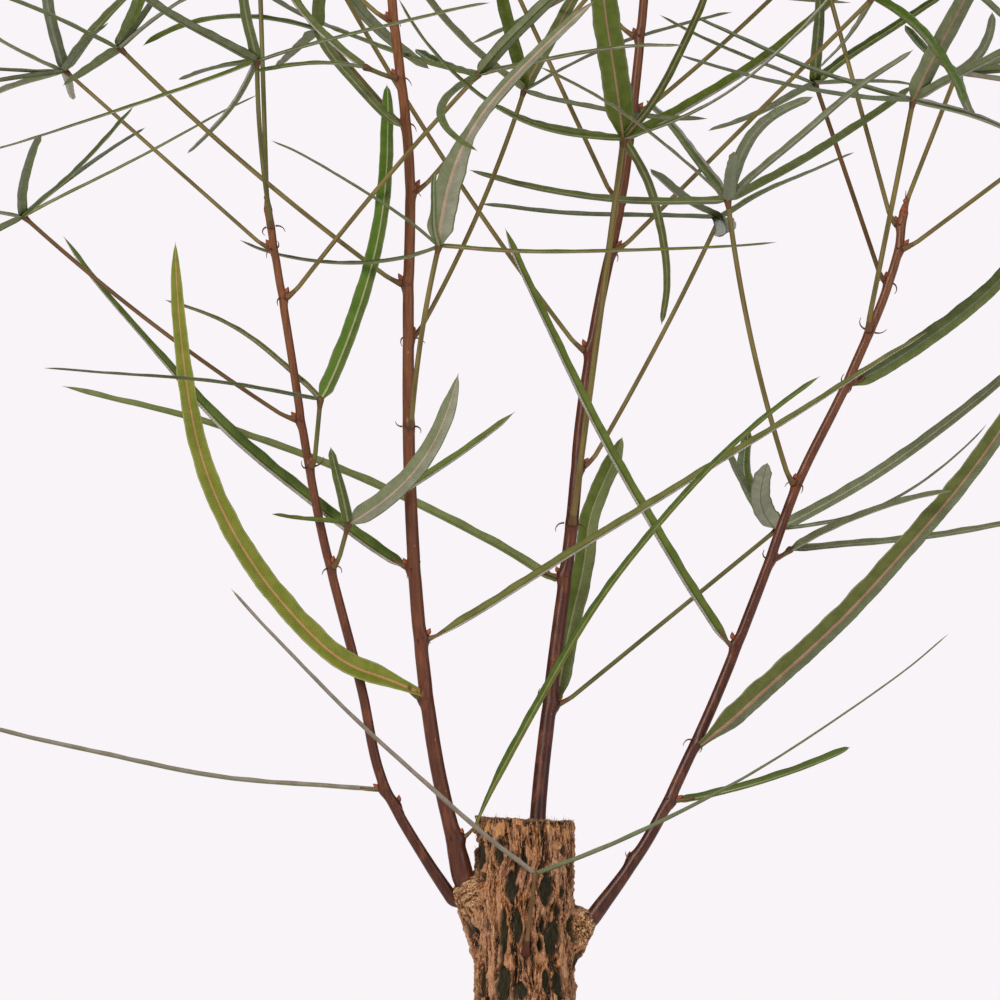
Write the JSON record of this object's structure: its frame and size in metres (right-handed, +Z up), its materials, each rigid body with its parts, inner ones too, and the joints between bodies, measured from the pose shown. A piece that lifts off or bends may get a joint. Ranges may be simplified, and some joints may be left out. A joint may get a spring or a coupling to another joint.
{
  "type": "bottle tree sapling",
  "caption": "Young bottle tree cut back to a short barked stump, with long red-brown shoots rising from burls and very narrow fingered leaves on thin stalks.",
  "frame": {"origin": "centre of the flat cut under the trunk, at ground level", "axes": "+Z up along the trunk, +X to the right as the picture shows the plant, +Y away from the viewer"},
  "size_m": [0.4319, 0.2709, 0.5331],
  "materials": {
    "bark": "rough fissured bark, dark green skin between pale brown ridges",
    "shoot_bark": "smooth red-brown young bark, satin",
    "green_leaf": "dark green leaf with a pale midrib, satin, grey-green beneath",
    "yellow_leaf": "yellow-green leaf with an orange-pink midrib, satin"
  },
  "bodies": {
    "root": {"trunk": "bark", "shoot_1": "shoot_bark", "shoot_2": "shoot_bark", "shoot_3": "shoot_bark", "shoot_4": "shoot_bark", "leaf_a": "green_leaf", "leaf_b": "green_leaf", "leaf_behind": "green_leaf", "leaf_broad_right": "green_leaf", "leaf_c": "green_leaf", "leaf_crossing": "green_leaf", "leaf_d": "green_leaf", "leaf_dark_left": "green_leaf", "leaf_e": "green_leaf", "leaf_f": "green_leaf", "leaf_far_right": "green_leaf", "leaf_g": "green_leaf", "leaf_h": "green_leaf", "leaf_i": "green_leaf", "leaf_j": "green_leaf", "leaf_k": "green_leaf", "leaf_l": "green_leaf", "leaf_l_back": "green_leaf", "leaf_long_left": "green_leaf", "leaf_long_right": "green_leaf", "leaf_low_left": "green_leaf", "leaf_m": "green_leaf", "leaf_n": "green_leaf", "leaf_o": "green_leaf", "leaf_p": "green_leaf", "leaf_r": "green_leaf", "leaf_rising": "green_leaf", "leaf_s": "green_leaf", "leaf_short_right": "green_leaf", "leaf_t": "green_leaf", "leaf_top_2_1": "green_leaf", "leaf_top_2_2": "green_leaf", "leaf_top_2_3": "green_leaf", "leaf_top_2_4": "green_leaf", "leaf_top_3_1": "green_leaf", "leaf_top_3_2": "green_leaf", "leaf_top_3_3": "green_leaf", "leaf_top_3_4": "green_leaf", "leaf_top_3_5": "green_leaf", "leaf_trunk": "green_leaf", "leaf_u1": "green_leaf", "leaf_u2": "green_leaf", "leaf_u3": "green_leaf", "leaf_u4": "green_leaf", "leaf_u5": "green_leaf", "leaf_u6": "green_leaf", "leaf_yellow": "yellow_leaf"}
  },
  "joints": []
}
